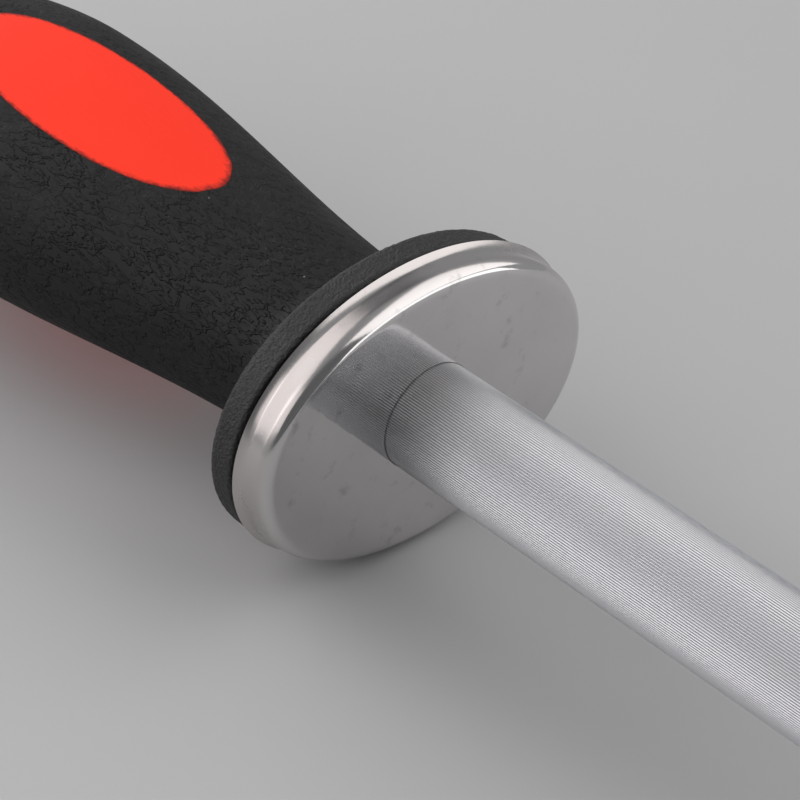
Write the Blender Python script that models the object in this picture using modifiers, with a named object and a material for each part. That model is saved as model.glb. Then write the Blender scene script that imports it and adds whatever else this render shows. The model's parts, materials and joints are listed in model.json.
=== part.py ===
"""Knife sharpening steel: a ridged round rod in a two-colour moulded handle, with a metal guard cap and a hang ring.

The rod lies along X with its tip towards +X. The handle's broad faces, which carry the inlays, face up and down,
and the oval guard is wider (Y) than it is high (Z). Lengths along the steel are measured from the front face of
the guard cap: forward along the rod, and "back" values towards the butt. The origin is the middle of the
underside of the object's bounding box.
"""

import math

import bmesh
import bpy

MM = 0.001
ASSEMBLY_NAME = "knife_sharpening_steel"

# Rod
ROD_DIAMETER = 13.0 * MM
ROD_LENGTH = 300.0 * MM  # from the guard's front face to the tip
ROD_TIP_CHAMFER = 1.6 * MM
RIDGE_PITCH = 0.294 * MM  # around the rod
RIDGE_DEPTH = 0.07 * MM
ROD_SHOULDER_BACK = 6.0 * MM  # where the rod steps down to its tang
TANG_DIAMETER = 8.0 * MM
TANG_LENGTH = 86.0 * MM
TANG_GROOVE_DEPTH = 0.8 * MM
TANG_GROOVE_WIDTH = 3.0 * MM
TANG_GROOVES = 4
TANG_GROOVE_FLAT = 0.6  # share of a groove's width that has its full depth
TANG_END_CHAMFER = 1.0 * MM
TANG_OVERLAP = 2.0 * MM  # how far the tang's form reaches into the rod, so that the two join

# Guard: a stamped oval cup over the front of the handle
GUARD_WIDTH = 47.8 * MM
GUARD_HEIGHT = 35.0 * MM
CAP_SHEET = 0.8 * MM
CAP_DEPTH = 4.3 * MM
CAP_EDGE_RADIUS = 1.8 * MM
CAP_LIP = 0.6 * MM  # how far the back edge is turned out
CAP_LIP_LENGTH = 0.7 * MM

# Handle
FLANGE_THICKNESS = 4.4 * MM
FLANGE_PROUD = 0.35 * MM  # how far the flange stands out past the cap's wall
FLANGE_EDGE_RADIUS = 1.1 * MM
FLANGE_FILLET_LENGTH = 7.0 * MM
HANDLE_LENGTH = 138.0 * MM  # from the guard's front face to the butt
NECK_BACK = 8.0 * MM
NECK_WIDTH = 26.0 * MM
NECK_HEIGHT = 19.2 * MM
BELLY_BACK = 74.0 * MM
BELLY_WIDTH = 41.0 * MM
BELLY_HEIGHT = 27.1 * MM
WAIST_FROM_BUTT = 22.0 * MM
WAIST_WIDTH = 26.0 * MM
BUTT_WIDTH = 27.6 * MM
BUTT_THICKNESS = 12.4 * MM
BUTT_FLAT_LENGTH = 15.0 * MM  # the stretch at the butt that keeps its full thinness
BUTT_ROUNDING = 11.0 * MM
GRIP_SQUARENESS = 2.3  # superellipse exponent of the grip: 2 is an ellipse
GRIP_WALL = 2.4 * MM  # the grip's outer shell over the core
INLAY_LENGTH = 45.8 * MM
INLAY_WIDTH = 18.4 * MM
INLAY_CENTRE_BACK = 59.0 * MM

# Hang hole and ring
HOLE_FROM_BUTT = 9.5 * MM
HOLE_DIAMETER = 6.4 * MM
HOLE_MOUTH_RADIUS = 2.0 * MM
RING_DIAMETER = 32.0 * MM  # at the middle of the wire
RING_WIRE = 2.6 * MM
RING_BUTT_GAP = 0.35 * MM
RING_SEAM_ANGLE = math.radians(140)  # up and behind, clear of the hole

# Fits
FIT = 0.3 * MM  # gap between touching pieces
ROD_FIT = 0.2 * MM  # the cap's hole around the rod

# Fineness of the meshes
GRIP_SIDES = 40
CAP_SIDES = 48
TURNED_SIDES = 28
GRIP_STATION = 7.5 * MM
CORE_STATION = 15.0 * MM
EDGE_STEPS = 3
CURVE_STEPS = 6
RING_POINTS = 48
WELD = 0.01 * MM  # points of a turned form this near each other on the axis become one

ROD_RADIUS = ROD_DIAMETER / 2
RIDGES = round(math.pi * ROD_DIAMETER / RIDGE_PITCH)
GUARD = (GUARD_WIDTH / 2, GUARD_HEIGHT / 2)
FLANGE_FRONT_BACK = CAP_DEPTH + FIT
FLANGE_REAR_BACK = FLANGE_FRONT_BACK + FLANGE_THICKNESS
FILLET_END_BACK = FLANGE_REAR_BACK + FLANGE_FILLET_LENGTH
FLANGE = (GUARD[0] + FLANGE_PROUD, GUARD[1] + FLANGE_PROUD)
TANG_END_BACK = ROD_SHOULDER_BACK + TANG_LENGTH
CORE_FRONT_BACK = ROD_SHOULDER_BACK + GRIP_WALL + FIT
CORE_INSET = GRIP_WALL + FIT
CORE_END_BACK = HANDLE_LENGTH - HOLE_FROM_BUTT - HOLE_DIAMETER / 2 - HOLE_MOUTH_RADIUS - GRIP_WALL
HOLE_BACK = HANDLE_LENGTH - HOLE_FROM_BUTT
RING_RADIUS = RING_DIAMETER / 2
RING_BOW = RING_RADIUS - math.sqrt(RING_RADIUS**2 - (BUTT_THICKNESS / 2) ** 2)
RING_CENTRE_BACK = RING_RADIUS - RING_BOW / 2  # behind the hole's axis, so the wire runs down its middle
REAR_BACK = HOLE_BACK + RING_CENTRE_BACK + RING_RADIUS + RING_WIRE / 2
UNDERSIDE = max(GUARD[1] + CAP_LIP, FLANGE[1])
ORIGIN_FROM_GUARD = ((ROD_LENGTH - REAR_BACK) / 2, 0.0, -UNDERSIDE)


def clear_scene():
    for old in list(bpy.data.objects):
        bpy.data.objects.remove(old, do_unlink=True)


def new_collection(name):
    collection = bpy.data.collections.new(name)
    bpy.context.scene.collection.children.link(collection)
    return collection


def new_material(name, color, roughness, metallic):
    material = bpy.data.materials.new(name)
    material.use_nodes = True
    shader = material.node_tree.nodes["Principled BSDF"]
    shader.inputs["Base Color"].default_value = (*color, 1.0)
    shader.inputs["Roughness"].default_value = roughness
    shader.inputs["Metallic"].default_value = metallic
    return material


def add_object(name, data, collection, frame, material=None):
    piece = bpy.data.objects.new(name, data)
    collection.objects.link(piece)
    piece.parent = frame
    if material:
        data.materials.append(material)
    return piece


def add_helper(name, data, collection, frame):
    helper = add_object(name, data, collection, frame)
    helper.hide_render = True
    helper.display_type = "WIRE"
    return helper


def combine(piece, other, operation):
    boolean = piece.modifiers.new(f"{operation.lower()}_{other.name}", "BOOLEAN")
    boolean.operation = operation
    boolean.object = other
    boolean.solver = "EXACT"


# Sections


def oval(back, half_width, half_height, squareness, sides):
    """A superellipse across the steel, this far behind the guard's front face."""
    points = []
    for i in range(sides):
        angle = 2 * math.pi * i / sides
        across, up = math.cos(angle), math.sin(angle)
        points.append(
            (
                -back,
                math.copysign(half_width * abs(across) ** (2 / squareness), across),
                math.copysign(half_height * abs(up) ** (2 / squareness), up),
            )
        )
    return points


def loft(name, sections, closed_ends=True, smooth_angle=math.radians(35)):
    """A skin over sections with equal numbers of points, ordered from the front to the back."""
    shape = bmesh.new()
    rings = [[shape.verts.new(point) for point in section] for section in sections]
    for front, rear in zip(rings, rings[1:]):
        for i in range(len(front)):
            j = (i + 1) % len(front)
            shape.faces.new((front[i], rear[i], rear[j], front[j]))
    if closed_ends:
        shape.faces.new(rings[0])
        shape.faces.new(reversed(rings[-1]))
    bmesh.ops.recalc_face_normals(shape, faces=shape.faces)
    mesh = bpy.data.meshes.new(name)
    shape.to_mesh(mesh)
    shape.free()
    mesh.shade_smooth()
    mesh.set_sharp_from_angle(angle=smooth_angle)
    return mesh


def quarter_turn(steps):
    """Angles from zero to a right angle, in this many steps."""
    return [math.pi / 2 * i / steps for i in range(steps + 1)]


def ease(start, end, share):
    return start + (end - start) * (1 - math.cos(math.pi * share)) / 2


def through_stations(stations, back):
    """A smooth value that is level at each (back, value) station and eases from one to the next."""
    if back <= stations[0][0]:
        return stations[0][1]
    for (near, near_value), (far, far_value) in zip(stations, stations[1:]):
        if back <= far:
            return ease(near_value, far_value, (back - near) / (far - near))
    return stations[-1][1]


WAIST_BACK = HANDLE_LENGTH - WAIST_FROM_BUTT
WIDTH_STATIONS = (
    (NECK_BACK, NECK_WIDTH / 2),
    (BELLY_BACK, BELLY_WIDTH / 2),
    (WAIST_BACK, WAIST_WIDTH / 2),
    (HOLE_BACK, BUTT_WIDTH / 2),
)
HEIGHT_STATIONS = (
    (NECK_BACK, NECK_HEIGHT / 2),
    (BELLY_BACK, BELLY_HEIGHT / 2),
    (HANDLE_LENGTH - BUTT_FLAT_LENGTH, BUTT_THICKNESS / 2),
)


def grip_half_sizes(back, inset=0.0):
    """Half the grip's width and height at a station, without its flange and its rounded butt."""
    return (
        through_stations(WIDTH_STATIONS, back) - inset,
        through_stations(HEIGHT_STATIONS, back) - inset,
    )


def flange_sections():
    """The boss inside the cap, the flange and the fillet down to the neck."""
    boss = [half - CAP_SHEET - FIT for half in GUARD]
    boss_front = CAP_SHEET + FIT
    boss_edge = CAP_EDGE_RADIUS - CAP_SHEET
    sections = [(boss_front, boss[0] - boss_edge, boss[1] - boss_edge, 2.0)]
    sections.append((boss_front + boss_edge, *boss, 2.0))
    sections.append((FLANGE_FRONT_BACK, *boss, 2.0))
    edge = FLANGE_EDGE_RADIUS
    for angle in quarter_turn(EDGE_STEPS):
        inset = edge * (1 - math.sin(angle))
        back = FLANGE_FRONT_BACK + edge * (1 - math.cos(angle))
        sections.append((back, FLANGE[0] - inset, FLANGE[1] - inset, 2.0))
    for angle in quarter_turn(EDGE_STEPS):
        back = FLANGE_REAR_BACK - edge * (1 - math.sin(angle))
        inset = edge * (1 - math.cos(angle))
        sections.append((back, FLANGE[0] - inset, FLANGE[1] - inset, 2.0))
    neck = grip_half_sizes(FILLET_END_BACK)
    fillet_from = [half - edge for half in FLANGE]
    for i in range(1, CURVE_STEPS):
        share = i / CURVE_STEPS
        angle = math.pi / 2 * (1 - share)
        back = FILLET_END_BACK - FLANGE_FILLET_LENGTH * math.sin(angle)
        sizes = [big - (big - small) * math.cos(angle) for big, small in zip(fillet_from, neck)]
        sections.append((back, *sizes, 2.0 + (GRIP_SQUARENESS - 2.0) * share))
    return sections


def butt_shrink(back, end, rounding):
    """The share of its size that a section keeps where the butt is rounded."""
    into = max(0.0, back - (end - rounding)) / rounding
    return math.sqrt(max(0.0, 1 - into**2))


def grip_sections(start, end, station, inset=0.0, rounding=BUTT_ROUNDING):
    """The grip from a start on it to its rounded butt, with a section about every station."""
    plain_end = end - rounding
    plain_count = math.ceil((plain_end - start) / station)
    stations = [start + (plain_end - start) * i / plain_count for i in range(plain_count)]
    stations += [plain_end + rounding * math.sin(angle) for angle in quarter_turn(CURVE_STEPS)[:-1]]
    sections = []
    for back in stations:
        half_width, half_height = grip_half_sizes(back, inset)
        shrink = butt_shrink(back, end, rounding)
        sections.append((back, half_width * shrink, half_height * math.sqrt(shrink), GRIP_SQUARENESS))
    return sections


def handle_mesh(name):
    """The handle's whole outer form, from the boss in the cap to the butt."""
    sections = flange_sections() + grip_sections(FILLET_END_BACK, HANDLE_LENGTH, GRIP_STATION)
    return loft(name, [oval(*section, GRIP_SIDES) for section in sections])


def core_mesh(name, inset, front_back, end_back):
    """The grip's form made smaller all round, for the core and for the space that holds it."""
    sections = grip_sections(front_back, end_back, CORE_STATION, inset, BUTT_ROUNDING / 2)
    return loft(name, [oval(*section, GRIP_SIDES) for section in sections])


# Rod


def ridged_circle(back, radius, ridge_depth):
    points = []
    for i in range(2 * RIDGES):
        angle = math.pi * i / RIDGES
        here = radius - ridge_depth * (i % 2)
        points.append((-back, here * math.cos(angle), here * math.sin(angle)))
    return points


def rod_mesh():
    tip_radius = ROD_RADIUS - ROD_TIP_CHAMFER
    sections = [
        ridged_circle(-ROD_LENGTH, tip_radius, 0.0),
        ridged_circle(-(ROD_LENGTH - ROD_TIP_CHAMFER), ROD_RADIUS, RIDGE_DEPTH),
        ridged_circle(ROD_SHOULDER_BACK, ROD_RADIUS, RIDGE_DEPTH),
    ]
    return loft("sharpening_rod", sections, smooth_angle=math.radians(20))


def turned(name, profile, collection, frame, along_x=True):
    """A helper turned from a profile of (height, radius) points, listed from the top end to the bottom end."""
    mesh = bpy.data.meshes.new(name)
    points = [(radius, 0.0, height) for height, radius in profile]
    mesh.from_pydata(points, [(i, i + 1) for i in range(len(points) - 1)], [])
    helper = add_helper(name, mesh, collection, frame)
    if along_x:
        helper.rotation_euler = (0.0, math.pi / 2, 0.0)
    screw = helper.modifiers.new("turn", "SCREW")
    screw.steps = TURNED_SIDES
    screw.render_steps = TURNED_SIDES
    screw.use_merge_vertices = True
    screw.merge_threshold = WELD
    return helper


def tang_profile():
    """The tang runs from inside the rod to its end, with grooves that the handle is moulded into."""
    radius = TANG_DIAMETER / 2
    rooted = ROD_SHOULDER_BACK - TANG_OVERLAP
    profile = [(-rooted, 0.0), (-rooted, radius)]
    spacing = TANG_LENGTH / (TANG_GROOVES + 1)
    for i in range(TANG_GROOVES):
        middle = ROD_SHOULDER_BACK + spacing * (i + 1)
        half = TANG_GROOVE_WIDTH / 2
        flat = half * TANG_GROOVE_FLAT
        bottom = radius - TANG_GROOVE_DEPTH
        profile.append((-(middle - half), radius))
        profile.append((-(middle - flat), bottom))
        profile.append((-(middle + flat), bottom))
        profile.append((-(middle + half), radius))
    profile.append((-(TANG_END_BACK - TANG_END_CHAMFER), radius))
    profile.append((-TANG_END_BACK, radius - TANG_END_CHAMFER))
    profile.append((-TANG_END_BACK, 0.0))
    return profile


def rod_bore_profile():
    """The space that the rod's shoulder and its tang fill in the handle, with a fit all round."""
    shoulder = ROD_SHOULDER_BACK + FIT
    end = TANG_END_BACK + FIT
    return [
        (0.0, 0.0),
        (0.0, ROD_RADIUS + FIT),
        (-shoulder, ROD_RADIUS + FIT),
        (-shoulder, TANG_DIAMETER / 2 + FIT),
        (-end, TANG_DIAMETER / 2 + FIT),
        (-end, 0.0),
    ]


# Guard cap


def cap_mesh():
    """The cup's outer skin from the rod's hole to the turned-out back edge; Solidify gives it its sheet."""
    hole = ROD_RADIUS + ROD_FIT
    steps = [(0.0, hole, hole)]
    for angle in quarter_turn(EDGE_STEPS + 1):
        inset = CAP_EDGE_RADIUS * (1 - math.sin(angle))
        back = CAP_EDGE_RADIUS * (1 - math.cos(angle))
        steps.append((back, GUARD[0] - inset, GUARD[1] - inset))
    lip_start = CAP_DEPTH - CAP_LIP_LENGTH
    for i in range(EDGE_STEPS):
        share = i / (EDGE_STEPS - 1)
        out = CAP_LIP * share**2
        steps.append((lip_start + CAP_LIP_LENGTH * share, GUARD[0] + out, GUARD[1] + out))
    sections = [oval(*step, 2.0, CAP_SIDES) for step in steps]
    return loft("guard_cap", sections, closed_ends=False)


# Hang hole and ring


def hang_hole_profile():
    """A plain hole with rounded mouths, opened out past both faces of the butt."""
    face = BUTT_THICKNESS / 2
    throat = face - HOLE_MOUTH_RADIUS
    radius = HOLE_DIAMETER / 2
    upper = []
    for angle in quarter_turn(EDGE_STEPS):
        height = throat + HOLE_MOUTH_RADIUS * math.sin(angle)
        upper.append((height, radius + HOLE_MOUTH_RADIUS * (1 - math.cos(angle))))
    mouth = radius + HOLE_MOUTH_RADIUS
    above = face + HOLE_MOUTH_RADIUS
    profile = [(above, 0.0), (above, mouth)] + upper[::-1]
    return profile + [(-height, size) for height, size in reversed(profile)]


def ring_curve():
    """A bent wire ring in the XZ plane with its ends butted, about the hole's centre as its origin."""
    curve = bpy.data.curves.new("hang_ring", "CURVE")
    curve.dimensions = "3D"
    curve.bevel_depth = RING_WIRE / 2
    curve.bevel_resolution = 2
    curve.use_fill_caps = True
    spline = curve.splines.new("POLY")
    spline.points.add(RING_POINTS - 1)
    gap_angle = RING_BUTT_GAP / RING_RADIUS
    for i, point in enumerate(spline.points):
        angle = RING_SEAM_ANGLE + gap_angle / 2 + (2 * math.pi - gap_angle) * i / (RING_POINTS - 1)
        x = -RING_CENTRE_BACK + RING_RADIUS * math.cos(angle)
        point.co = (x, 0.0, RING_RADIUS * math.sin(angle), 1.0)
    return curve


# Inlays


def inlay_prism(name, half_sizes, collection, frame):
    """An upright oval prism through the whole handle, which gives the inlay's outline on both broad faces."""
    shape = bmesh.new()
    bmesh.ops.create_cone(
        shape, cap_ends=True, segments=TURNED_SIDES, radius1=1.0, radius2=1.0, depth=2 * BELLY_HEIGHT
    )
    bmesh.ops.scale(shape, vec=(*half_sizes, 1.0), verts=shape.verts)
    mesh = bpy.data.meshes.new(name)
    shape.to_mesh(mesh)
    shape.free()
    helper = add_helper(name, mesh, collection, frame)
    helper.location = (-INLAY_CENTRE_BACK, 0.0, 0.0)
    return helper


# Assembly


def build():
    clear_scene()
    parts = new_collection(ASSEMBLY_NAME)
    helpers = new_collection(f"{ASSEMBLY_NAME}_helpers")
    frame = bpy.data.objects.new("steel_frame", None)
    parts.objects.link(frame)
    frame.location = [-offset for offset in ORIGIN_FROM_GUARD]

    steel = new_material("hard_chromed_rod_steel", (0.42, 0.43, 0.44), 0.35, 1.0)
    polished = new_material("polished_stainless_sheet", (0.62, 0.60, 0.59), 0.08, 1.0)
    black = new_material("black_grained_plastic", (0.022, 0.022, 0.023), 0.62, 0.0)
    red = new_material("red_plastic", (0.83, 0.045, 0.024), 0.5, 0.0)
    plated = new_material("nickel_plated_wire", (0.55, 0.55, 0.54), 0.2, 1.0)

    rod = add_object("sharpening_rod", rod_mesh(), parts, frame, steel)
    tang = turned("tang", tang_profile(), helpers, frame)
    combine(rod, tang, "UNION")

    cap = add_object("guard_cap", cap_mesh(), parts, frame, polished)
    sheet = cap.modifiers.new("sheet", "SOLIDIFY")
    sheet.thickness = CAP_SHEET
    sheet.offset = -1.0
    sheet.use_even_offset = True

    rod_bore = turned("rod_bore", rod_bore_profile(), helpers, frame)
    hang_hole = turned("hang_hole", hang_hole_profile(), helpers, frame, along_x=False)
    hang_hole.location = (-HOLE_BACK, 0.0, 0.0)

    inlay_size = (INLAY_LENGTH / 2, INLAY_WIDTH / 2)
    window = inlay_prism("inlay_window", inlay_size, helpers, frame)
    pads = inlay_prism("inlay_pads", [half - FIT for half in inlay_size], helpers, frame)
    form = add_helper("handle_form", handle_mesh("handle_form"), helpers, frame)
    combine(pads, form, "INTERSECT")

    shell = add_object("grip_shell", handle_mesh("grip_shell"), parts, frame, black)
    space = core_mesh("core_space", GRIP_WALL, CORE_FRONT_BACK - FIT, CORE_END_BACK + FIT)
    combine(shell, add_helper("core_space", space, helpers, frame), "DIFFERENCE")
    combine(shell, window, "DIFFERENCE")
    combine(shell, rod_bore, "DIFFERENCE")
    combine(shell, hang_hole, "DIFFERENCE")

    core_shape = core_mesh("handle_core", CORE_INSET, CORE_FRONT_BACK, CORE_END_BACK)
    core = add_object("handle_core", core_shape, parts, frame, red)
    combine(core, pads, "UNION")
    combine(core, rod_bore, "DIFFERENCE")

    ring = add_object("hang_ring", ring_curve(), parts, frame, plated)
    ring.location = (-HOLE_BACK, 0.0, 0.0)


build()
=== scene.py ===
"""Looks for the knife sharpening steel: leather-grained two-colour grip, polished guard cap and fine-ridged rod."""

import json
import math

import bmesh
import bpy
from mathutils import Matrix, Vector, noise


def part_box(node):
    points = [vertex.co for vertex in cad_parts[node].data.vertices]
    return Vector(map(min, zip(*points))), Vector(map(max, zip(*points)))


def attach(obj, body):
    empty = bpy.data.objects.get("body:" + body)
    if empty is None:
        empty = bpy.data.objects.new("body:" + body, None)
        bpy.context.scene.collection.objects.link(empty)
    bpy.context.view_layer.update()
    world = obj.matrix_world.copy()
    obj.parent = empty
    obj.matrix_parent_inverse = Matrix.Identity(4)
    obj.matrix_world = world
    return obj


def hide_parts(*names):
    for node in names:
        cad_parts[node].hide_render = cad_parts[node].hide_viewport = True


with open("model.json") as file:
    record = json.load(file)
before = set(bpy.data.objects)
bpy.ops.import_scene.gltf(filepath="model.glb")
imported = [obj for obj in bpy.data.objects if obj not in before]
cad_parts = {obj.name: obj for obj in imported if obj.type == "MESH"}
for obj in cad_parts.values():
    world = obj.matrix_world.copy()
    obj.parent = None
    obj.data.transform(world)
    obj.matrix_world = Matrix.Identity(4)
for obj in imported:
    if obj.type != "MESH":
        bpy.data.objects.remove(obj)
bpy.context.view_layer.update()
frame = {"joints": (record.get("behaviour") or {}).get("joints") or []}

MM = 0.001

# Places and sizes read from the frame
guard_low, guard_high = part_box("guard_cap")
rod_low, rod_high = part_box("sharpening_rod")
grip_low, grip_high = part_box("grip_shell")
core_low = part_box("handle_core")[0]
ring_low, ring_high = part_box("hang_ring")
GUARD_FRONT = guard_high.x
AXIS_HEIGHT = (guard_low.z + guard_high.z) / 2
ROD_RADIUS = (rod_high.z - rod_low.z) / 2
HANDLE_LENGTH = GUARD_FRONT - grip_low.x
HOLE_CENTRE = Vector(frame["joints"][0]["pos_m"])

# Guard cap
CAP_SHEET = 0.8 * MM
CAP_EDGE_RADIUS = 1.8 * MM
CAP_LIP = 0.6 * MM
CAP_LIP_LENGTH = 1.0 * MM
CAP_DEPTH = 4.3 * MM
ROD_GAP = 0.02 * MM
HOLE_CHAMFER = 0.04 * MM
CAP_OFF_CENTRE = (0.4 * MM, -0.15 * MM)  # the pressed-on cap sits slightly to one side
CAP_SPREAD = (0.4 * MM, 0.1 * MM)  # how far its sheet wall springs outward
GUARD = (
    (guard_high.y - guard_low.y) / 2 - CAP_LIP + CAP_SPREAD[0],
    (guard_high.z - guard_low.z) / 2 - CAP_LIP + CAP_SPREAD[1],
)

# Grip, measured back from the guard's front face
FIT = 0.3 * MM  # clearance between moulded and pressed pieces
BOSS_INSET = CAP_SHEET + 0.7 * MM  # from the cap's wall to the grip's boss inside it
BOSS_CHAMFER = 1.0 * MM
FLANGE_GAP = 0.4 * MM  # shadow gap behind the cap, on average
FLANGE_LEAN = 0.35 * MM  # how much wider the gap is at the -Y end, and narrower at the +Y end
FLANGE_FRONT_BACK = CAP_DEPTH + FLANGE_GAP
FLANGE_REAR_BACK = FLANGE_FRONT_BACK + 4.0 * MM
FLANGE_EDGE_RADIUS = 1.1 * MM
FLANGE_FRONT_RADIUS = 0.5 * MM
FLANGE_STIPPLE = 0.07 * MM
FLANGE_EDGE_BACK = FLANGE_REAR_BACK - FLANGE_EDGE_RADIUS  # where its rear edge starts to round
FILLET_END_BACK = FLANGE_REAR_BACK + 7.0 * MM
FLANGE = ((grip_high.y - grip_low.y) / 2, (grip_high.z - grip_low.z) / 2)
CORE_INSET = 2.7 * MM
GRIP_WALL = 2.4 * MM
NECK_BACK = 8.0 * MM
NECK_HALF = (13.0 * MM, 9.6 * MM)
BELLY_BACK = 74.0 * MM
BELLY_HALF = (20.5 * MM, 13.55 * MM)
WAIST_BACK = HANDLE_LENGTH - 22.0 * MM
WAIST_HALF_WIDTH = 13.0 * MM
HOLE_BACK = GUARD_FRONT - HOLE_CENTRE.x
BUTT_HALF = (13.8 * MM, 6.2 * MM)
BUTT_FLAT_BACK = HANDLE_LENGTH - 15.0 * MM
BUTT_ROUNDING = 11.0 * MM
GRIP_SQUARENESS = 2.3
CORE_FRONT_BACK = 8.7 * MM
CORE_END_BACK = GUARD_FRONT - core_low.x
INLAY_CENTRE_BACK = 59.0 * MM
INLAY_HALF = (22.9 * MM, 9.2 * MM)
INLAY_SEAM = 0.05 * MM
INLAY_RAGGEDNESS = 0.22 * MM
INLAY_POINTS = 420
HOLE_RADIUS = 3.2 * MM
HOLE_MOUTH_RADIUS = 2.0 * MM

# Rod and tang
RIDGES = 139
RIDGE_DEPTH = 0.1 * MM
POINTS_PER_RIDGE = 8
TIP_CHAMFER = 1.6 * MM
SHOULDER_BACK = 6.0 * MM
TANG_RADIUS = 4.0 * MM
TANG_GROOVE_DEPTH = 0.8 * MM
TANG_GROOVE_WIDTH = 3.0 * MM
TANG_GROOVES = 4

# Ring
RING_WIRE_RADIUS = (ring_high.y - ring_low.y) / 2
RING_RADIUS = (ring_high.z - ring_low.z) / 2 - RING_WIRE_RADIUS
RING_SEAM_ANGLE = math.radians(140)
RING_SEAM_GAP = 0.3 * MM
RING_STEPS = 160
WIRE_SIDES = 28

# Sides of each skin's sections, and how far apart the sections stand
GRIP_SIDES = 176
GRIP_SPACING = 1.1 * MM
CORE_SIDES = 48
CORE_SPACING = 6 * MM
CAP_SIDES = 256
HOLE_SIDES = 72

# Camera: its right and forward directions, and its place from the guard's centre
CAMERA_RIGHT = Vector((0.68224, 0.72686, 0.07887))
CAMERA_AHEAD = Vector((-0.56536, 0.59287, -0.57348))
CAMERA_OFFSET = Vector((0.18241, -0.19600, 0.18909))
GUARD_CENTRE = Vector((GUARD_FRONT, 0.0, AXIS_HEIGHT))
FLOOR_HALF = 3.0


# Colours and nodes


def linear(hex_colour):
    """An sRGB hex colour as linear RGBA."""
    channels = [int(hex_colour[i : i + 2], 16) / 255 for i in (1, 3, 5)]
    return tuple(c / 12.92 if c <= 0.04045 else ((c + 0.055) / 1.055) ** 2.4 for c in channels) + (1.0,)


def add(tree, kind, inputs=None, **settings):
    """Adds a node; an input is given a value, or is linked when it is given a socket."""
    node = tree.nodes.new(kind)
    for name, value in settings.items():
        setattr(node, name, value)
    for key, value in (inputs or {}).items():
        if isinstance(value, bpy.types.NodeSocket):
            tree.links.new(value, node.inputs[key])
        else:
            node.inputs[key].default_value = value
    return node


def start_material(name):
    """A new material with one Principled shader; returns the material, its tree, shader and Object coordinates."""
    material = bpy.data.materials.new(name)
    material.use_nodes = True
    tree = material.node_tree
    shader = tree.nodes["Principled BSDF"]
    place = add(tree, "ShaderNodeTexCoord").outputs["Object"]
    return material, tree, shader, place


def stretched(tree, place, size_mm):
    """Coordinates in which one unit is the given size in millimetres along each axis."""
    scale = [1 / (size * MM) for size in size_mm]
    return add(tree, "ShaderNodeMapping", {"Vector": place, "Scale": scale}).outputs["Vector"]


def specks(tree, place, spacing_mm, share, radius):
    """One at rare small round spots, zero elsewhere; the radius is a share of the spacing."""
    spots = stretched(tree, place, [spacing_mm] * 3)
    cells = add(tree, "ShaderNodeTexVoronoi", {"Vector": spots, "Scale": 1.0})
    near = add(
        tree,
        "ShaderNodeMapRange",
        {"Value": cells.outputs["Distance"], "From Min": radius, "From Max": radius * 0.5, "To Max": 1.0},
    )
    apart = add(tree, "ShaderNodeSeparateColor", {"Color": cells.outputs["Color"]})
    chosen = add(tree, "ShaderNodeMath", {0: apart.outputs["Red"], 1: share}, operation="LESS_THAN")
    both = add(tree, "ShaderNodeMath", {0: near.outputs["Result"], 1: chosen.outputs[0]}, operation="MULTIPLY")
    return both.outputs[0]


def mixed(tree, factor, first, second, most=1.0):
    """A mix of two colours, each a hex string or a socket; most is the second one's share at a factor of one."""
    first, second = (linear(side) if isinstance(side, str) else side for side in (first, second))
    share = add(tree, "ShaderNodeMath", {0: factor, 1: most}, operation="MULTIPLY").outputs[0]
    return add(tree, "ShaderNodeMix", {"Factor": share, "A": first, "B": second}, data_type="RGBA").outputs[2]


def times_plus(tree, value, factor, base):
    """The value times the factor, plus the base."""
    return add(tree, "ShaderNodeMath", {0: value, 1: factor, 2: base}, operation="MULTIPLY_ADD").outputs[0]


def relief(tree, shader, height, strength, distance):
    """Bumps the shader's surface by this height."""
    bump = add(tree, "ShaderNodeBump", {"Height": height, "Strength": strength, "Distance": distance})
    tree.links.new(bump.outputs["Normal"], shader.inputs["Normal"])


def distance_along(tree, place):
    """The place's X, which runs along the steel."""
    return add(tree, "ShaderNodeSeparateXYZ", {"Vector": place}).outputs["X"]


def smooth_step(tree, value, low, high, to_low=0.0, to_high=1.0):
    """The value eased from one range to another, level outside it."""
    node = add(
        tree,
        "ShaderNodeMapRange",
        {"Value": value, "From Min": low, "From Max": high, "To Min": to_low, "To Max": to_high},
        interpolation_type="SMOOTHSTEP",
    )
    return node.outputs["Result"]


def noise_at(tree, place, size_mm, detail=2.0, output="Fac", **inputs):
    """Noise with features of the given size in millimetres along each axis."""
    values = {"Vector": stretched(tree, place, size_mm), "Scale": 1.0, "Detail": detail}
    for name, value in inputs.items():
        values[name.replace("_", " ").title()] = value
    return add(tree, "ShaderNodeTexNoise", values).outputs[output]


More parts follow.
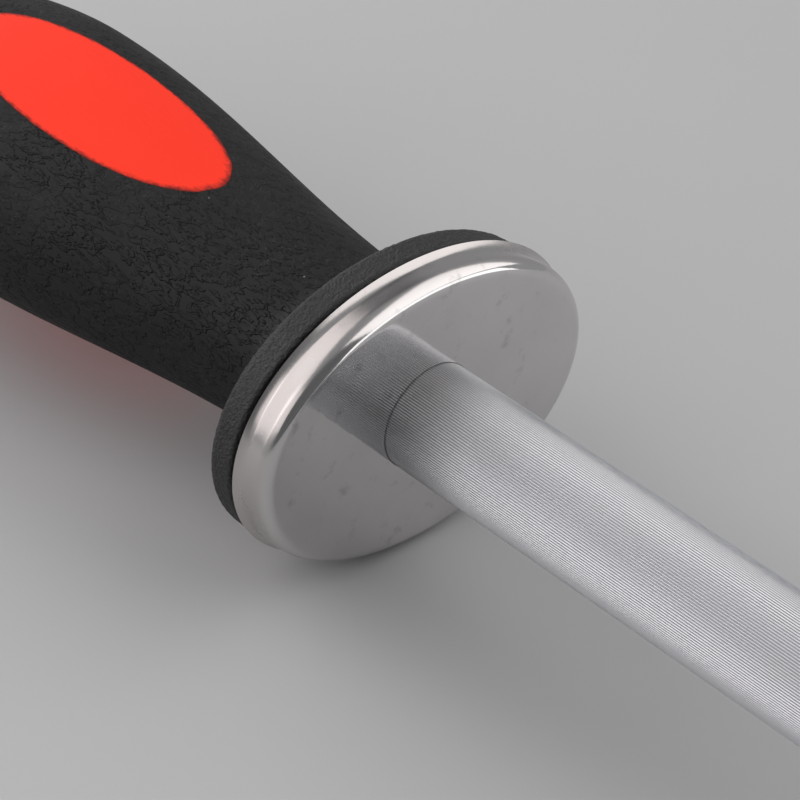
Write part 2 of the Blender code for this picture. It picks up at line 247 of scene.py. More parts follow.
def leather_grain(tree, place):
    """Height of a moulded leather grain: flat-topped islands with wandering edges, drawn out along the handle.

    Returns the height, how near a point is to an island's edge, and how strong the grain is there."""
    drift = noise_at(tree, place, (2.0, 1.2, 1.2), output="Color")
    centred = add(tree, "ShaderNodeVectorMath", {0: drift, 1: (0.5, 0.5, 0.5)}, operation="SUBTRACT")
    wandering = add(
        tree,
        "ShaderNodeVectorMath",
        {0: centred.outputs[0], 1: (1.0 * MM, 0.7 * MM, 0.7 * MM), 2: place},
        operation="MULTIPLY_ADD",
    ).outputs[0]
    islands = noise_at(tree, wandering, (1.8, 0.8, 0.8), detail=2.0)
    step = smooth_step(tree, islands, 0.45, 0.52)
    second_step = smooth_step(tree, islands, 0.58, 0.64)
    creases = []
    for level in (0.475, 0.6):
        from_edge = add(tree, "ShaderNodeMath", {0: islands, 1: level}, operation="SUBTRACT")
        nearness = add(tree, "ShaderNodeMath", {0: from_edge.outputs[0]}, operation="ABSOLUTE").outputs[0]
        creases.append(smooth_step(tree, nearness, 0.002, 0.026, 1.0, 0.0))
    edge = add(tree, "ShaderNodeMath", {0: creases[0], 1: creases[1]}, operation="MAXIMUM").outputs[0]
    strength = smooth_step(tree, noise_at(tree, place, (12, 7, 7), detail=1.0), 0.34, 0.56, 0.35, 1.0)
    both = times_plus(tree, second_step, 0.5, step)
    height = add(tree, "ShaderNodeMath", {0: both, 1: strength}, operation="MULTIPLY").outputs[0]
    return height, edge, strength


# Materials


def black_elastomer():
    """Black thermoplastic elastomer, moulded against a leather-grained tool: matt, with shallow islands whose
    creases are painted darker as shade, a stippled flange and a few specks of dust."""
    material, tree, shader, place = start_material("tpe_moulded_leather_grain_black")
    height, edge, strength = leather_grain(tree, place)
    along = distance_along(tree, place)
    neck_end, flange_end = GUARD_FRONT - FILLET_END_BACK, GUARD_FRONT - FLANGE_REAR_BACK
    on_flange = smooth_step(tree, along, neck_end - 1 * MM, flange_end - 1 * MM)
    stipple = noise_at(tree, place, (0.3, 0.3, 0.3), detail=2.0)
    surface = add(
        tree, "ShaderNodeMix", {"Factor": on_flange, "A": height, "B": stipple}, data_type="FLOAT"
    ).outputs[0]
    fine = noise_at(tree, place, (0.16, 0.12, 0.12), detail=2.0)
    relief(tree, shader, times_plus(tree, fine, 0.16, surface), 1.0, 0.24 * MM)
    creases = add(tree, "ShaderNodeMath", {0: edge, 1: strength}, operation="MULTIPLY").outputs[0]
    clouds = noise_at(tree, place, (15, 8, 8), detail=3.0)
    plain = mixed(tree, clouds, "#131313", "#1b1b1b")
    # Painted shade: the grain's creases are painted darker.
    crease_shaded = mixed(tree, creases, plain, "#060606", most=0.45)
    dusty = mixed(tree, specks(tree, place, 4.2, 0.2, 0.03), crease_shaded, "#b4b5b3", most=0.9)
    tree.links.new(dusty, shader.inputs["Base Color"])
    tree.links.new(smooth_step(tree, clouds, 0.3, 0.7, 0.56, 0.68), shader.inputs["Roughness"])
    sheen = smooth_step(tree, creases, 0.0, 1.0, 0.25, 0.12)
    tree.links.new(times_plus(tree, on_flange, 0.35, sheen), shader.inputs["Specular IOR Level"])
    shader.inputs["IOR"].default_value = 1.5
    return material


def red_polypropylene():
    """Red polypropylene, moulded before the black skin: saturated, satin, faintly streaked, and with a thin uneven
    band of painted shade darkening it towards its edge."""
    material, tree, shader, place = start_material("pp_moulded_satin_red")
    height = leather_grain(tree, place)[0]
    ripples = noise_at(tree, place, (2.6, 0.5, 0.5), detail=3.0)
    relief(tree, shader, times_plus(tree, height, 0.3, ripples), 0.5, 0.05 * MM)
    streaks = noise_at(tree, place, (6, 0.9, 0.9), detail=4.0)
    clouds = noise_at(tree, place, (14, 8, 8), detail=2.0)
    streaked = mixed(tree, streaks, "#ff2c12", "#ff3216")
    clouded = mixed(tree, clouds, streaked, "#ff3a1c", most=0.6)
    on_oval = add(
        tree,
        "ShaderNodeMapping",
        {
            "Vector": place,
            "Location": ((INLAY_CENTRE_BACK - GUARD_FRONT) / INLAY_HALF[0], 0.0, 0.0),
            "Scale": (1 / INLAY_HALF[0], 1 / INLAY_HALF[1], 0.0),
        },
    ).outputs["Vector"]
    outward = add(tree, "ShaderNodeVectorMath", {0: on_oval}, operation="LENGTH").outputs["Value"]
    uneven = times_plus(tree, noise_at(tree, place, (0.9, 0.5, 0.5)), 0.08, outward)
    # Painted shade along the inlay's edge: the red is painted darker towards its outline.
    edge_shaded = smooth_step(tree, uneven, 0.98, 1.045)
    tree.links.new(mixed(tree, edge_shaded, clouded, "#3a0a06", most=0.85), shader.inputs["Base Color"])
    shader.inputs["Specular IOR Level"].default_value = 0.28
    rough = add(tree, "ShaderNodeMapRange", {"Value": streaks, "To Min": 0.6, "To Max": 0.75})
    tree.links.new(rough.outputs["Result"], shader.inputs["Roughness"])
    shader.inputs["IOR"].default_value = 1.49
    return material


def polished_stainless():
    """Stainless sheet, stamped and buffed: a near mirror on its face and satin on its wall, softly uneven, with
    smears, hairlines and a few pits."""
    material, tree, shader, place = start_material("stainless_stamped_buffed")
    shader.inputs["Metallic"].default_value = 1.0
    waves = noise_at(tree, place, (6, 6, 6), detail=2.0)
    peel = noise_at(tree, place, (1.3, 1.3, 1.3), detail=2.0)
    hairs = noise_at(tree, place, (0.12, 3.5, 0.12), detail=3.0)
    uneven = times_plus(tree, peel, 0.35, waves)
    relief(tree, shader, times_plus(tree, hairs, 0.02, uneven), 0.4, 0.06 * MM)
    pits = specks(tree, place, 4.6, 0.28, 0.045)
    smudges = smooth_step(tree, noise_at(tree, place, (2.6, 2.6, 2.6), detail=6.0, roughness=0.6), 0.57, 0.74)
    clean = mixed(tree, waves, "#c6c4c3", "#d2d0cf")
    soil_and_groove_shade = mixed(tree, smudges, clean, "#a09d9c", most=0.55)
    along = distance_along(tree, place)
    on_wall = smooth_step(tree, along, GUARD_FRONT - 1.3 * MM, GUARD_FRONT - 0.2 * MM, 1.0, 0.0)
    tinted = mixed(tree, on_wall, soil_and_groove_shade, "#b9b5b3", most=0.8)
    tree.links.new(mixed(tree, pits, tinted, "#6b6866", most=0.8), shader.inputs["Base Color"])
    smears = noise_at(tree, place, (8, 8, 8), detail=5.0)
    face = smooth_step(tree, smears, 0.3, 0.75, 0.045, 0.13)
    tree.links.new(times_plus(tree, on_wall, 0.17, face), shader.inputs["Roughness"])
    return material


def ridged_rod_steel():
    """Hardened rod steel, drawn through a ridging die and satin finished: bright crests, valleys painted darker as
    shade, fine streaks along the ridges, and painted shade on the rod beside the guard, darker towards it."""
    material, tree, shader, place = start_material("rod_steel_drawn_satin")
    shader.inputs["Metallic"].default_value = 1.0
    lines = noise_at(tree, place, (12, 0.2, 0.2), detail=3.0)
    grit = noise_at(tree, place, (0.5, 0.2, 0.2), detail=3.0)
    crest = mixed(tree, lines, "#ced0d3", "#dddfe2")
    from_axis = add(
        tree, "ShaderNodeMapping", {"Vector": place, "Location": (0.0, 0.0, -AXIS_HEIGHT), "Scale": (0.0, 1.0, 1.0)}
    ).outputs["Vector"]
    radius = add(tree, "ShaderNodeVectorMath", {0: from_axis}, operation="LENGTH").outputs["Value"]
    # Painted shade in the grooves: the valleys between the ridges are painted darker.
    valley = smooth_step(tree, radius, ROD_RADIUS - RIDGE_DEPTH, ROD_RADIUS - RIDGE_DEPTH * 0.2, 1.0, 0.0)
    on_side = smooth_step(tree, radius, ROD_RADIUS - RIDGE_DEPTH * 2, ROD_RADIUS - RIDGE_DEPTH * 1.2)
    soil_and_groove_shade = add(tree, "ShaderNodeMath", {0: valley, 1: on_side}, operation="MULTIPLY").outputs[0]
    tinted = mixed(tree, soil_and_groove_shade, crest, "#7c7d81", most=0.72)
    along = distance_along(tree, place)
    # Painted shade beside the guard: the rod is painted darker towards the guard.
    by_guard = smooth_step(tree, along, GUARD_FRONT + 1 * MM, GUARD_FRONT + 12 * MM, 1.0, 0.0)
    shaded_by_guard = mixed(tree, by_guard, tinted, "#58595c", most=0.3)
    pits = specks(tree, place, 5.5, 0.06, 0.04)
    tree.links.new(mixed(tree, pits, shaded_by_guard, "#8a8b8d", most=0.8), shader.inputs["Base Color"])
    tree.links.new(smooth_step(tree, grit, 0.3, 0.7, 0.38, 0.5), shader.inputs["Roughness"])
    relief(tree, shader, grit, 0.25, 0.01 * MM)
    return material


def nickel_plated_wire():
    """Steel wire, bent and nickel plated: bright, slightly yellow, with light rub marks."""
    material, tree, shader, place = start_material("steel_wire_nickel_plated")
    shader.inputs["Metallic"].default_value = 1.0
    rubs = noise_at(tree, place, (2, 2, 2), detail=5.0)
    tree.links.new(mixed(tree, rubs, "#b7b4ae", "#d3d1cc"), shader.inputs["Base Color"])
    rough = add(tree, "ShaderNodeMapRange", {"Value": rubs, "To Min": 0.12, "To Max": 0.34})
    tree.links.new(rough.outputs["Result"], shader.inputs["Roughness"])
    relief(tree, shader, rubs, 0.15, 0.05 * MM)
    return material


def matt_card():
    """Smooth matt card under the steel, pale grey, with the faintest mottling."""
    material, tree, shader, place = start_material("card_matt_grey")
    mottle = noise_at(tree, place, (60, 60, 60), detail=4.0)
    tree.links.new(mixed(tree, mottle, "#b1b2b3", "#b5b6b7"), shader.inputs["Base Color"])
    shader.inputs["Roughness"].default_value = 0.6
    return material


# Meshes


def new_piece(name, mesh, material):
    """An object at the origin with this mesh and one material."""
    piece = bpy.data.objects.new(name, mesh)
    bpy.context.scene.collection.objects.link(piece)
    mesh.materials.clear()
    mesh.materials.append(material)
    return piece


def superellipse(back, half_width, half_height, squareness, sides, centre=(0.0, 0.0)):
    """Points across the steel at this distance behind the guard's front face."""
    points = []
    for i in range(sides):
        angle = 2 * math.pi * i / sides
        across, up = math.cos(angle), math.sin(angle)
        y = math.copysign(half_width * abs(across) ** (2 / squareness), across)
        z = math.copysign(half_height * abs(up) ** (2 / squareness), up)
        points.append((GUARD_FRONT - back, centre[0] + y, AXIS_HEIGHT + centre[1] + z))
    return points


def loft(name, sections, ends="capped"):
    """A skin over sections with equal numbers of points; ends are capped, or joined to each other."""
    shape = bmesh.new()
    rings = [[shape.verts.new(point) for point in section] for section in sections]
    pairs = list(zip(rings, rings[1:]))
    if ends == "joined":
        pairs.append((rings[-1], rings[0]))
    for front, rear in pairs:
        for i in range(len(front)):
            j = (i + 1) % len(front)
            shape.faces.new((front[i], rear[i], rear[j], front[j]))
    if ends == "capped":
        shape.faces.new(rings[0])
        shape.faces.new(reversed(rings[-1]))
    bmesh.ops.recalc_face_normals(shape, faces=shape.faces)
    mesh = bpy.data.meshes.new(name)
    shape.to_mesh(mesh)
    shape.free()
    return mesh


def smooth(mesh, angle):
    """Smooth shading, sharp where faces meet at more than this many degrees."""
    mesh.shade_smooth()
    mesh.set_sharp_from_angle(angle=math.radians(angle))


def quarter_turn(steps):
    """Angles from nought to a quarter turn, in equal steps."""
    return [math.pi / 2 * i / steps for i in range(steps + 1)]


def through_stations(stations, back):
    """A smooth value that is level at each (back, value) station and eases from one to the next."""
    if back <= stations[0][0]:
        return stations[0][1]
    for (near, near_value), (far, far_value) in zip(stations, stations[1:]):
        if back <= far:
            share = (back - near) / (far - near)
            return near_value + (far_value - near_value) * (1 - math.cos(math.pi * share)) / 2
    return stations[-1][1]


WIDTH_STATIONS = (
    (NECK_BACK, NECK_HALF[0]),
    (BELLY_BACK, BELLY_HALF[0]),
    (WAIST_BACK, WAIST_HALF_WIDTH),
    (HOLE_BACK, BUTT_HALF[0]),
)
HEIGHT_STATIONS = (
    (NECK_BACK, NECK_HALF[1]),
    (BELLY_BACK, BELLY_HALF[1]),
    (BUTT_FLAT_BACK, BUTT_HALF[1]),
)


def grip_half_sizes(back, inset=0.0):
    """The grip's half width and half height at this distance back."""
    return [through_stations(stations, back) - inset for stations in (WIDTH_STATIONS, HEIGHT_STATIONS)]


def front_sections():
    """The boss inside the cap, the flange with its rounded rim, and the fillet down to the neck."""
    boss = [half - BOSS_INSET for half in GUARD]
    edge, front_edge = FLANGE_EDGE_RADIUS, FLANGE_FRONT_RADIUS
    sections = [
        (CAP_SHEET + FIT, boss[0] - BOSS_CHAMFER, boss[1] - BOSS_CHAMFER, 2.0),
        (CAP_SHEET + FIT + BOSS_CHAMFER, *boss, 2.0),
        (FLANGE_FRONT_BACK, *boss, 2.0),
    ]
    for angle in quarter_turn(6):
        inset = front_edge * (1 - math.sin(angle))
        back = FLANGE_FRONT_BACK + front_edge * (1 - math.cos(angle))
        sections.append((back, FLANGE[0] - inset, FLANGE[1] - inset, 2.0))
    plain = FLANGE_EDGE_BACK - FLANGE_FRONT_BACK - front_edge
    for i in range(1, 5):
        sections.append((FLANGE_FRONT_BACK + front_edge + plain * i / 5, *FLANGE, 2.0))
    for angle in quarter_turn(6):
        back = FLANGE_REAR_BACK - edge * (1 - math.sin(angle))
        inset = edge * (1 - math.cos(angle))
        sections.append((back, FLANGE[0] - inset, FLANGE[1] - inset, 2.0))
    neck = grip_half_sizes(FILLET_END_BACK)
    steps = 18
    for i in range(1, steps):
        share = i / steps
        angle = math.pi / 2 * (1 - share)
        back = FILLET_END_BACK - (FILLET_END_BACK - FLANGE_REAR_BACK) * math.sin(angle)
        sizes = [rim - edge - (rim - edge - low) * math.cos(angle) for rim, low in zip(FLANGE, neck)]
        sections.append((back, *sizes, 2.0 + (GRIP_SQUARENESS - 2.0) * share))
    return sections


def grip_sections(start, end, spacing, inset=0.0, rounding=BUTT_ROUNDING):
    """The grip from a start on it to its rounded end."""
    plain_end = end - rounding
    count = math.ceil((plain_end - start) / spacing)
    stations = [start + (plain_end - start) * i / count for i in range(count)]
    stations += [plain_end + rounding * math.sin(angle) for angle in quarter_turn(18)[:-1]]
    sections = []
    for back in stations:
        half_width, half_height = grip_half_sizes(back, inset)
        shrink = math.sqrt(1 - (max(0.0, back - plain_end) / rounding) ** 2)
        sections.append((back, half_width * shrink, half_height * math.sqrt(shrink), GRIP_SQUARENESS))
    return sections


def handle_form(name):
    """The whole handle's outside, as a solid."""
    sections = front_sections() + grip_sections(FILLET_END_BACK, HANDLE_LENGTH, GRIP_SPACING)
    return loft(name, [superellipse(*section, GRIP_SIDES) for section in sections])


def core_form(name, inset, front_back, end_back):
    """A solid this far inside the handle's outside."""
    sections = grip_sections(front_back, end_back, CORE_SPACING, inset, BUTT_ROUNDING / 2)
    return loft(name, [superellipse(*section, CORE_SIDES) for section in sections])


def inlay_prism(name, shrink):
    """An upright prism with the inlay's outline, which is slightly ragged where the grain runs across it."""
    rims = []
    for height in (-BELLY_HALF[1] * 1.5, BELLY_HALF[1] * 1.5):
        rim = []
        for i in range(INLAY_POINTS):
            angle = 2 * math.pi * i / INLAY_POINTS
            x, y = INLAY_HALF[0] * math.cos(angle), INLAY_HALF[1] * math.sin(angle)
            coarse = noise.noise(Vector((x, y, math.copysign(5 * MM, height))) / (1.7 * MM))
            fine = noise.noise(Vector((x, y, math.copysign(9 * MM, height))) / (0.6 * MM))
            out = INLAY_RAGGEDNESS * (coarse + 0.5 * fine) - shrink
            grow = 1 + out / math.hypot(x, y)
            rim.append((GUARD_FRONT - INLAY_CENTRE_BACK + x * grow, y * grow, AXIS_HEIGHT + height))
        rims.append(rim)
    return loft(name, rims)


def turned_x(name, profile, sides=64):
    """A solid turned about the rod's axis from (back, radius) points."""
    return loft(name, [superellipse(back, radius, radius, 2.0, sides) for back, radius in profile])


def hang_hole(name):
    """The hole through the butt, with rounded mouths, as a solid turned about an upright axis."""
    throat = BUTT_HALF[1] - HOLE_MOUTH_RADIUS
    upper = []
    for angle in quarter_turn(10):
        height = throat + HOLE_MOUTH_RADIUS * math.sin(angle)
        upper.append((height, HOLE_RADIUS + HOLE_MOUTH_RADIUS * (1 - math.cos(angle))))
    upper.append((BUTT_HALF[1] + HOLE_MOUTH_RADIUS, HOLE_RADIUS + HOLE_MOUTH_RADIUS))
    profile = upper[::-1] + [(-height, radius) for height, radius in upper]
    turn = [2 * math.pi * i / HOLE_SIDES for i in range(HOLE_SIDES)]
    sections = [
        [HOLE_CENTRE + Vector((radius * math.cos(a), radius * math.sin(a), height)) for a in turn]
        for height, radius in profile
    ]
    return loft(name, sections)


def cut(mesh, *others):
    """The mesh after each (operation, mesh) in turn."""
    body = bpy.data.objects.new("body_being_cut", mesh)
    bpy.context.scene.collection.objects.link(body)
    helpers = []
    for operation, other in others:
        helper = bpy.data.objects.new(other.name, other)
        bpy.context.scene.collection.objects.link(helper)
        helpers.append(helper)
        boolean = body.modifiers.new(operation, "BOOLEAN")
        boolean.operation = operation
        boolean.object = helper
        boolean.solver = "EXACT"
    bpy.context.view_layer.update()
    graph = bpy.context.evaluated_depsgraph_get()
    result = bpy.data.meshes.new_from_object(body.evaluated_get(graph))
    for helper in (*helpers, body):
        bpy.data.objects.remove(helper)
    return result


# Pieces


def tang_bore():
    """(back, radius) of the stepped bore for the rod's foot and the tang."""
    end = GUARD_FRONT - rod_low.x + FIT
    shoulder = SHOULDER_BACK + FIT
    return [
        (-1 * MM, ROD_RADIUS + FIT),
        (shoulder, ROD_RADIUS + FIT),
        (shoulder, TANG_RADIUS + FIT),
        (end, TANG_RADIUS + FIT),
    ]


def place_on_flange(point):
    """How far behind the guard's front a point is, and how far out, where one is on the flange's rim."""
    return GUARD_FRONT - point.x, math.hypot(point.y / FLANGE[0], (point.z - AXIS_HEIGHT) / FLANGE[1])


def lean_flange(mesh):
    """Moves the flange's front face so that the gap behind the cap is wider at the -Y end."""
    for vert in mesh.vertices:
        back, out = place_on_flange(vert.co)
        if back < FLANGE_EDGE_BACK and out > 0.8:
            share = (FLANGE_EDGE_BACK - back) / (FLANGE_EDGE_BACK - FLANGE_FRONT_BACK)
            vert.co.x += min(1.0, share) * FLANGE_LEAN * vert.co.y / FLANGE[0]


def stipple_flange(mesh):
    """Gives the flange's rim its coarse moulded stipple as real relief, which also roughens its outline."""
    shape = bmesh.new()
    shape.from_mesh(mesh)

    def on_rim(vert):
        back, out = place_on_flange(vert.co)
        return CAP_DEPTH < back < FLANGE_REAR_BACK + 0.4 * MM and out > 0.93

    edges = {edge for edge in shape.edges if all(on_rim(vert) for vert in edge.verts)}
    bmesh.ops.subdivide_edges(shape, edges=list(edges), cuts=3, use_grid_fill=True)
    shape.normal_update()
    moves = []
    for vert in shape.verts:
        if on_rim(vert):
            coarse = noise.noise(vert.co / (0.4 * MM))
            fine = noise.noise(vert.co / (0.22 * MM) + Vector((7, 3, 5)))
            moves.append((vert, vert.normal * FLANGE_STIPPLE * (coarse + 0.5 * fine)))
    for vert, move in moves:
        vert.co += move
    shape.to_mesh(mesh)
    shape.free()


def make_grip_shell(material):
    """The black skin, hollow for the core, with its windows, bore and hang hole."""
    space = core_form("core_space", GRIP_WALL, CORE_FRONT_BACK - FIT, CORE_END_BACK + FIT)
    mesh = cut(
        handle_form("grip_form"),
        ("DIFFERENCE", space),
        ("DIFFERENCE", inlay_prism("inlay_window", 0.0)),
        ("DIFFERENCE", turned_x("bore", tang_bore())),
        ("DIFFERENCE", hang_hole("hole")),
    )
    lean_flange(mesh)
    stipple_flange(mesh)
    smooth(mesh, 40)
    piece = new_piece("black_grip", mesh, material)
    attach(piece, "steel")
    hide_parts("grip_shell")


def make_core(material):
    """The red core, with pads that fill the skin's windows flush."""
    pads = cut(inlay_prism("inlay_pads", INLAY_SEAM), ("INTERSECT", handle_form("pad_form")))
    mesh = cut(
        core_form("core_body", CORE_INSET, CORE_FRONT_BACK, CORE_END_BACK),
        ("UNION", pads),
        ("DIFFERENCE", turned_x("bore", tang_bore())),
    )
    smooth(mesh, 40)
    piece = new_piece("red_core", mesh, material)
    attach(piece, "steel")
    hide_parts("handle_core")


def make_guard_cap(material):
    """A stamped cup: flat face around the rod, rounded front edge, straight wall and turned-out back lip."""
    hole = ROD_RADIUS + ROD_GAP
    mouth = hole + HOLE_CHAMFER
    outer = [(HOLE_CHAMFER, hole, hole), (0.0, mouth, mouth)]
    for i in range(1, 8):
        share = i / 8
        flat = [hole + (half - CAP_EDGE_RADIUS - hole) * share for half in GUARD]
        outer.append((0.0, *flat))
    for angle in quarter_turn(12):
        inset = CAP_EDGE_RADIUS * (1 - math.sin(angle))
        outer.append((CAP_EDGE_RADIUS * (1 - math.cos(angle)), GUARD[0] - inset, GUARD[1] - inset))
    lip_start = CAP_DEPTH - CAP_LIP_LENGTH
    for i in range(1, 4):
        outer.append((CAP_EDGE_RADIUS + (lip_start - CAP_EDGE_RADIUS) * i / 4, *GUARD))
    for i in range(9):
        share = i / 8
        out = CAP_LIP * share**1.6
        outer.append((lip_start + CAP_LIP_LENGTH * share, GUARD[0] + out, GUARD[1] + out))
    inner = [(CAP_DEPTH, GUARD[0] - 0.2 * MM, GUARD[1] - 0.2 * MM)]
    inner.append((CAP_DEPTH - 0.9 * MM, GUARD[0] - CAP_SHEET, GUARD[1] - CAP_SHEET))
    inner_edge = CAP_EDGE_RADIUS - CAP_SHEET
    for angle in reversed(quarter_turn(5)):
        inset = CAP_SHEET + inner_edge * (1 - math.sin(angle))
        inner.append((CAP_SHEET + inner_edge * (1 - math.cos(angle)), GUARD[0] - inset, GUARD[1] - inset))
    inner.append((CAP_SHEET, hole, hole))
    sections = []
    for back, half_width, half_height in outer + inner:
        share = min(1.0, (half_height - hole) / (GUARD[1] - CAP_EDGE_RADIUS - hole))
        centre = [offset * share for offset in CAP_OFF_CENTRE]
        sections.append(superellipse(back, half_width, half_height, 2.0, CAP_SIDES, centre))
    mesh = loft("guard_cap", sections, ends="joined")
    smooth(mesh, 40)
    piece = new_piece("polished_guard_cap", mesh, material)
    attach(piece, "steel")
    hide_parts("guard_cap")


def geometry_tree(name, sockets):
    """An empty geometry tree with a geometry input and output, the named inputs and its two end nodes."""
    tree = bpy.data.node_groups.new(name, "GeometryNodeTree")
    tree.interface.new_socket("Geometry", in_out="INPUT", socket_type="NodeSocketGeometry")
    tree.interface.new_socket("Geometry", in_out="OUTPUT", socket_type="NodeSocketGeometry")
    for socket_name, kind in sockets.items():
        tree.interface.new_socket(socket_name, in_out="INPUT", socket_type=f"NodeSocket{kind}")
    return tree, add(tree, "NodeGroupInput"), add(tree, "NodeGroupOutput")


def grow(name, host, tree, values):
    """The plain mesh that a geometry tree makes from a host mesh with these input values."""
    holder = bpy.data.objects.new(name, host)
    bpy.context.scene.collection.objects.link(holder)
    modifier = holder.modifiers.new(name, "NODES")
    modifier.node_group = tree
    for item in tree.interface.items_tree:
        if item.in_out == "INPUT" and item.name in values:
            modifier[item.identifier] = values[item.name]
    bpy.context.view_layer.update()
    graph = bpy.context.evaluated_depsgraph_get()
    mesh = bpy.data.meshes.new_from_object(holder.evaluated_get(graph))
    bpy.data.objects.remove(holder)
    shape = bmesh.new()
    shape.from_mesh(mesh)
    bmesh.ops.remove_doubles(shape, verts=shape.verts, dist=0.000001)
    bmesh.ops.recalc_face_normals(shape, faces=shape.faces)
    shape.to_mesh(mesh)
    shape.free()
    return mesh


def ridged_sweep_tree():
    """Sweeps a circle with rounded ridges round it along the host's line, at the host's thickness at each point."""
    tree, given, made = geometry_tree(
        "ridged_sweep",
        {
            "Ridges": "Int",
            "Points Per Ridge": "Int",
            "Radius": "Float",
            "Groove Depth": "Float",
            "Material": "Material",
        },
    )
    inputs = given.outputs
    points = add(tree, "ShaderNodeMath", {0: inputs["Ridges"], 1: inputs["Points Per Ridge"]}, operation="MULTIPLY")
    circle = add(
        tree, "GeometryNodeCurvePrimitiveCircle", {"Resolution": points.outputs[0], "Radius": inputs["Radius"]}
    )
    index = add(tree, "GeometryNodeInputIndex")
    phase = add(tree, "ShaderNodeMath", {0: index.outputs[0], 1: inputs["Points Per Ridge"]}, operation="DIVIDE")
    angle = add(tree, "ShaderNodeMath", {0: phase.outputs[0], 1: 2 * math.pi}, operation="MULTIPLY")
    wave = add(tree, "ShaderNodeMath", {0: angle.outputs[0]}, operation="COSINE")
    in_groove = add(tree, "ShaderNodeMapRange", {"Value": wave.outputs[0], "From Min": 1.0, "From Max": -1.0})
    depth = add(
        tree, "ShaderNodeMath", {0: in_groove.outputs["Result"], 1: inputs["Groove Depth"]}, operation="MULTIPLY"
    )
    share = add(tree, "ShaderNodeMath", {0: depth.outputs[0], 1: inputs["Radius"]}, operation="DIVIDE")
    kept = add(tree, "ShaderNodeMath", {0: 1.0, 1: share.outputs[0]}, operation="SUBTRACT")
    position = add(tree, "GeometryNodeInputPosition")
    moved = add(tree, "ShaderNodeVectorMath", {0: position.outputs[0], "Scale": kept.outputs[0]}, operation="SCALE")
    profile = add(
        tree, "GeometryNodeSetPosition", {"Geometry": circle.outputs["Curve"], "Position": moved.outputs[0]}
    )
    line = add(tree, "GeometryNodeMeshToCurve", {"Mesh": inputs["Geometry"]})
    thickness = add(tree, "GeometryNodeInputNamedAttribute", {"Name": "thickness"}, data_type="FLOAT")
    rail = add(
        tree,
        "GeometryNodeSetCurveRadius",
        {"Curve": line.outputs["Curve"], "Radius": thickness.outputs["Attribute"]},
    )
    sweep = add(
        tree,
        "GeometryNodeCurveToMesh",
        {"Curve": rail.outputs["Curve"], "Profile Curve": profile.outputs["Geometry"], "Fill Caps": True},
    )
    if "Scale" in sweep.inputs:
        tree.links.new(thickness.outputs["Attribute"], sweep.inputs["Scale"])
    whole = add(tree, "GeometryNodeRealizeInstances", {"Geometry": sweep.outputs["Mesh"]})
    painted = add(
        tree, "GeometryNodeSetMaterial", {"Geometry": whole.outputs["Geometry"], "Material": inputs["Material"]}
    )
    tree.links.new(painted.outputs["Geometry"], made.inputs[0])
    return tree


def rod_stations():
    """(back, radius) along the steel from the tang's end to the tip."""
    tang_end = GUARD_FRONT - rod_low.x
    tip = GUARD_FRONT - rod_high.x
    stations = [(tang_end, TANG_RADIUS * 0.75), (tang_end - TANG_RADIUS / 4, TANG_RADIUS)]
    spacing = (tang_end - SHOULDER_BACK) / (TANG_GROOVES + 1)
    for i in range(TANG_GROOVES, 0, -1):
        middle = SHOULDER_BACK + spacing * i
        for offset, depth in ((1, 0), (0.6, 1), (-0.6, 1), (-1, 0)):
            stations.append((middle + offset * TANG_GROOVE_WIDTH / 2, TANG_RADIUS - depth * TANG_GROOVE_DEPTH))
    stations += [(SHOULDER_BACK + 0.02 * MM, TANG_RADIUS), (SHOULDER_BACK, ROD_RADIUS)]
    for i in range(1, 8):
        stations.append((SHOULDER_BACK + (tip + TIP_CHAMFER - SHOULDER_BACK) * i / 8, ROD_RADIUS))
    stations.append((tip + TIP_CHAMFER, ROD_RADIUS))
    stations.append((tip + TIP_CHAMFER * 0.96, ROD_RADIUS - TIP_CHAMFER * 0.08))
    stations.append((tip + TIP_CHAMFER * 0.06, ROD_RADIUS - TIP_CHAMFER * 0.94))
    stations.append((tip, ROD_RADIUS - TIP_CHAMFER * 1.05))
    return stations


def make_rod(material):
    """The ridged rod with its shoulder, grooved tang and chamfered tip, in one piece."""
    stations = rod_stations()
    line = bpy.data.meshes.new("rod_line")
    points = [(GUARD_FRONT - back, 0.0, AXIS_HEIGHT) for back, radius in stations]
    line.from_pydata(points, [(i, i + 1) for i in range(len(points) - 1)], [])
    thickness = line.attributes.new("thickness", "FLOAT", "POINT")
    for i, (back, radius) in enumerate(stations):
        thickness.data[i].value = radius / ROD_RADIUS
    values = {
        "Ridges": RIDGES,
        "Points Per Ridge": POINTS_PER_RIDGE,
        "Radius": ROD_RADIUS,
        "Groove Depth": RIDGE_DEPTH,
        "Material": material,
    }
    mesh = grow("rod", line, ridged_sweep_tree(), values)
    smooth(mesh, 50)
    piece = new_piece("ridged_rod", mesh, material)
    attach(piece, "steel")
    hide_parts("sharpening_rod")


def make_ring(material):
    """Round wire bent to a ring, its cut ends butted with a hair's gap."""
    centre = Vector((ring_low.x + RING_WIRE_RADIUS + RING_RADIUS, HOLE_CENTRE.y, HOLE_CENTRE.z))
    gap = RING_SEAM_GAP / RING_RADIUS
    sideways = Vector((0.0, 1.0, 0.0))
    round_wire = [2 * math.pi * k / WIRE_SIDES for k in range(WIRE_SIDES)]
    sections = []
    for i in range(RING_STEPS + 1):
        angle = RING_SEAM_ANGLE + gap / 2 + (2 * math.pi - gap) * i / RING_STEPS
        outward = Vector((math.cos(angle), 0.0, math.sin(angle)))
        radius = RING_WIRE_RADIUS * (0.97 if i in (0, RING_STEPS) else 1.0)
        sections.append(
            [
                centre + outward * (RING_RADIUS + radius * math.cos(a)) + sideways * (radius * math.sin(a))
                for a in round_wire
            ]
        )
    mesh = loft("hang_ring", sections)
    smooth(mesh, 45)
    piece = new_piece("wire_ring", mesh, material)
    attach(piece, "ring")
    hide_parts("hang_ring")


# Stage


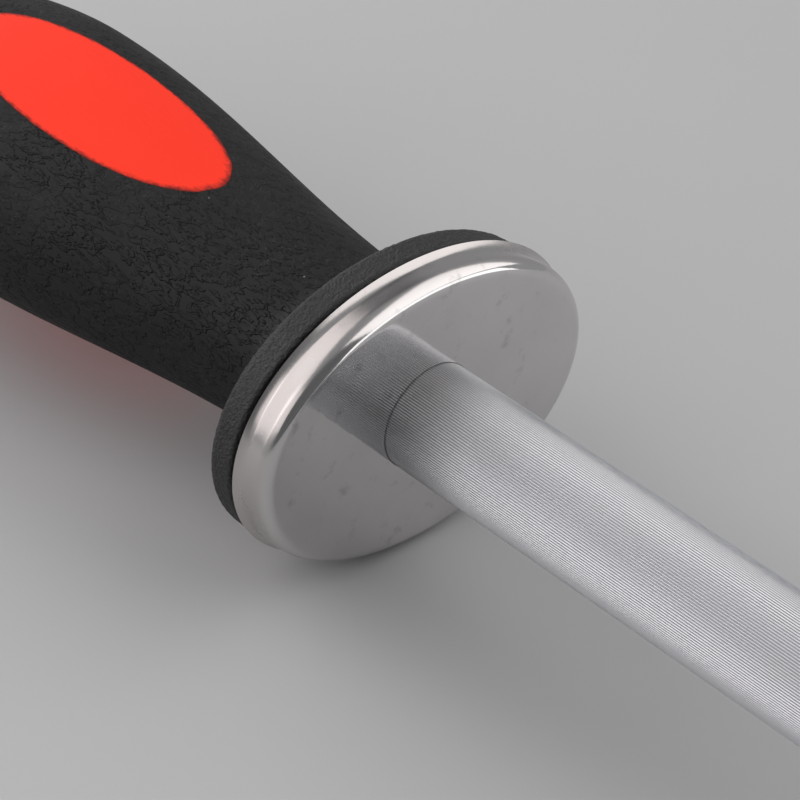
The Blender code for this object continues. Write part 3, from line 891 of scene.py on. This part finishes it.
def make_floor():
    """A flat sheet that touches the guard's lower edge and the rod's tip."""
    cap_underside = AXIS_HEIGHT + CAP_OFF_CENTRE[1] - GUARD[1] - CAP_LIP
    under_guard = Vector((GUARD_FRONT - CAP_DEPTH, 0.0, cap_underside))
    under_tip = Vector((rod_high.x - TIP_CHAMFER, 0.0, AXIS_HEIGHT - ROD_RADIUS))
    along = (under_tip - under_guard).normalized() * FLOOR_HALF
    side = Vector((0.0, FLOOR_HALF, 0.0))
    shape = bmesh.new()
    corners = [(-1, -1), (1, -1), (1, 1), (-1, 1)]
    shape.faces.new([shape.verts.new(under_guard + along * a + side * b) for a, b in corners])
    mesh = bpy.data.meshes.new("floor")
    shape.to_mesh(mesh)
    shape.free()
    new_piece("floor", mesh, matt_card())


def make_camera():
    """A long lens, looking down at the guard from in front of it and to the right."""
    data = bpy.data.cameras.new("camera")
    data.lens = 135.0
    data.sensor_width = 36.0
    data.clip_start = 0.01
    camera = bpy.data.objects.new("camera", data)
    bpy.context.scene.collection.objects.link(camera)
    up = CAMERA_RIGHT.cross(CAMERA_AHEAD)
    turn = Matrix((CAMERA_RIGHT, up, -CAMERA_AHEAD)).transposed().to_4x4()
    camera.matrix_world = Matrix.Translation(GUARD_CENTRE + CAMERA_OFFSET) @ turn
    bpy.context.scene.camera = camera


def add_softbox(name, towards, distance, size, radiance, colour="#ffffff"):
    """A rectangular softbox in this direction from the guard, facing it."""
    data = bpy.data.lights.new(name, "AREA")
    data.shape = "RECTANGLE"
    data.size, data.size_y = size
    data.energy = radiance * math.pi * size[0] * size[1]
    data.color = linear(colour)[:3]
    light = bpy.data.objects.new(name, data)
    bpy.context.scene.collection.objects.link(light)
    towards = Vector(towards).normalized()
    light.location = GUARD_CENTRE + towards * distance
    light.rotation_euler = (-towards).to_track_quat("-Z", "Y").to_euler()


def make_lights():
    """Big softboxes behind, in front and past the butt, and panels in front and low at the right."""
    add_softbox("back_softbox", (0.48, 0.56, 0.68), 2.4, (3.05, 2.4), 1.27, "#fffaf9")
    add_softbox("front_softbox", (-0.55, -0.54, 0.63), 0.9, (1.16, 1.16), 1.06, "#fff7f6")
    add_softbox("front_panel", (0.10, -0.84, 0.52), 1.0, (0.9, 0.6), 0.95, "#fff7f6")
    add_softbox("rear_softbox", (-0.90, 0.05, 0.42), 1.1, (1.0, 0.5), 2.5)
    add_softbox("right_low_panel", (0.80, 0.58, 0.12), 1.6, (1.4, 0.4), 1.38)


def make_backdrop():
    """An even pale surround that is darker past the tip and above the butt."""
    world = bpy.data.worlds.new("studio")
    world.use_nodes = True
    tree = world.node_tree
    direction = add(tree, "ShaderNodeTexCoord").outputs["Generated"]
    shade = "#a6a7a9"
    for towards, start, full, colour in (
        ((0.86, -0.42, 0.25), 0.6, 0.9, "#6c6d6f"),
        ((-0.52, 0.28, 0.80), 0.92, 0.985, "#68696b"),
    ):
        nearness = add(
            tree, "ShaderNodeVectorMath", {0: direction, 1: Vector(towards).normalized()}, operation="DOT_PRODUCT"
        )
        shade = mixed(tree, smooth_step(tree, nearness.outputs["Value"], start, full), shade, colour)
    tree.links.new(shade, tree.nodes["Background"].inputs["Color"])
    bpy.context.scene.world = world


make_camera()
make_rod(ridged_rod_steel())
make_guard_cap(polished_stainless())
make_grip_shell(black_elastomer())
make_core(red_polypropylene())
make_ring(nickel_plated_wire())
make_floor()
make_lights()
make_backdrop()
bpy.context.scene.view_settings.view_transform = "Standard"
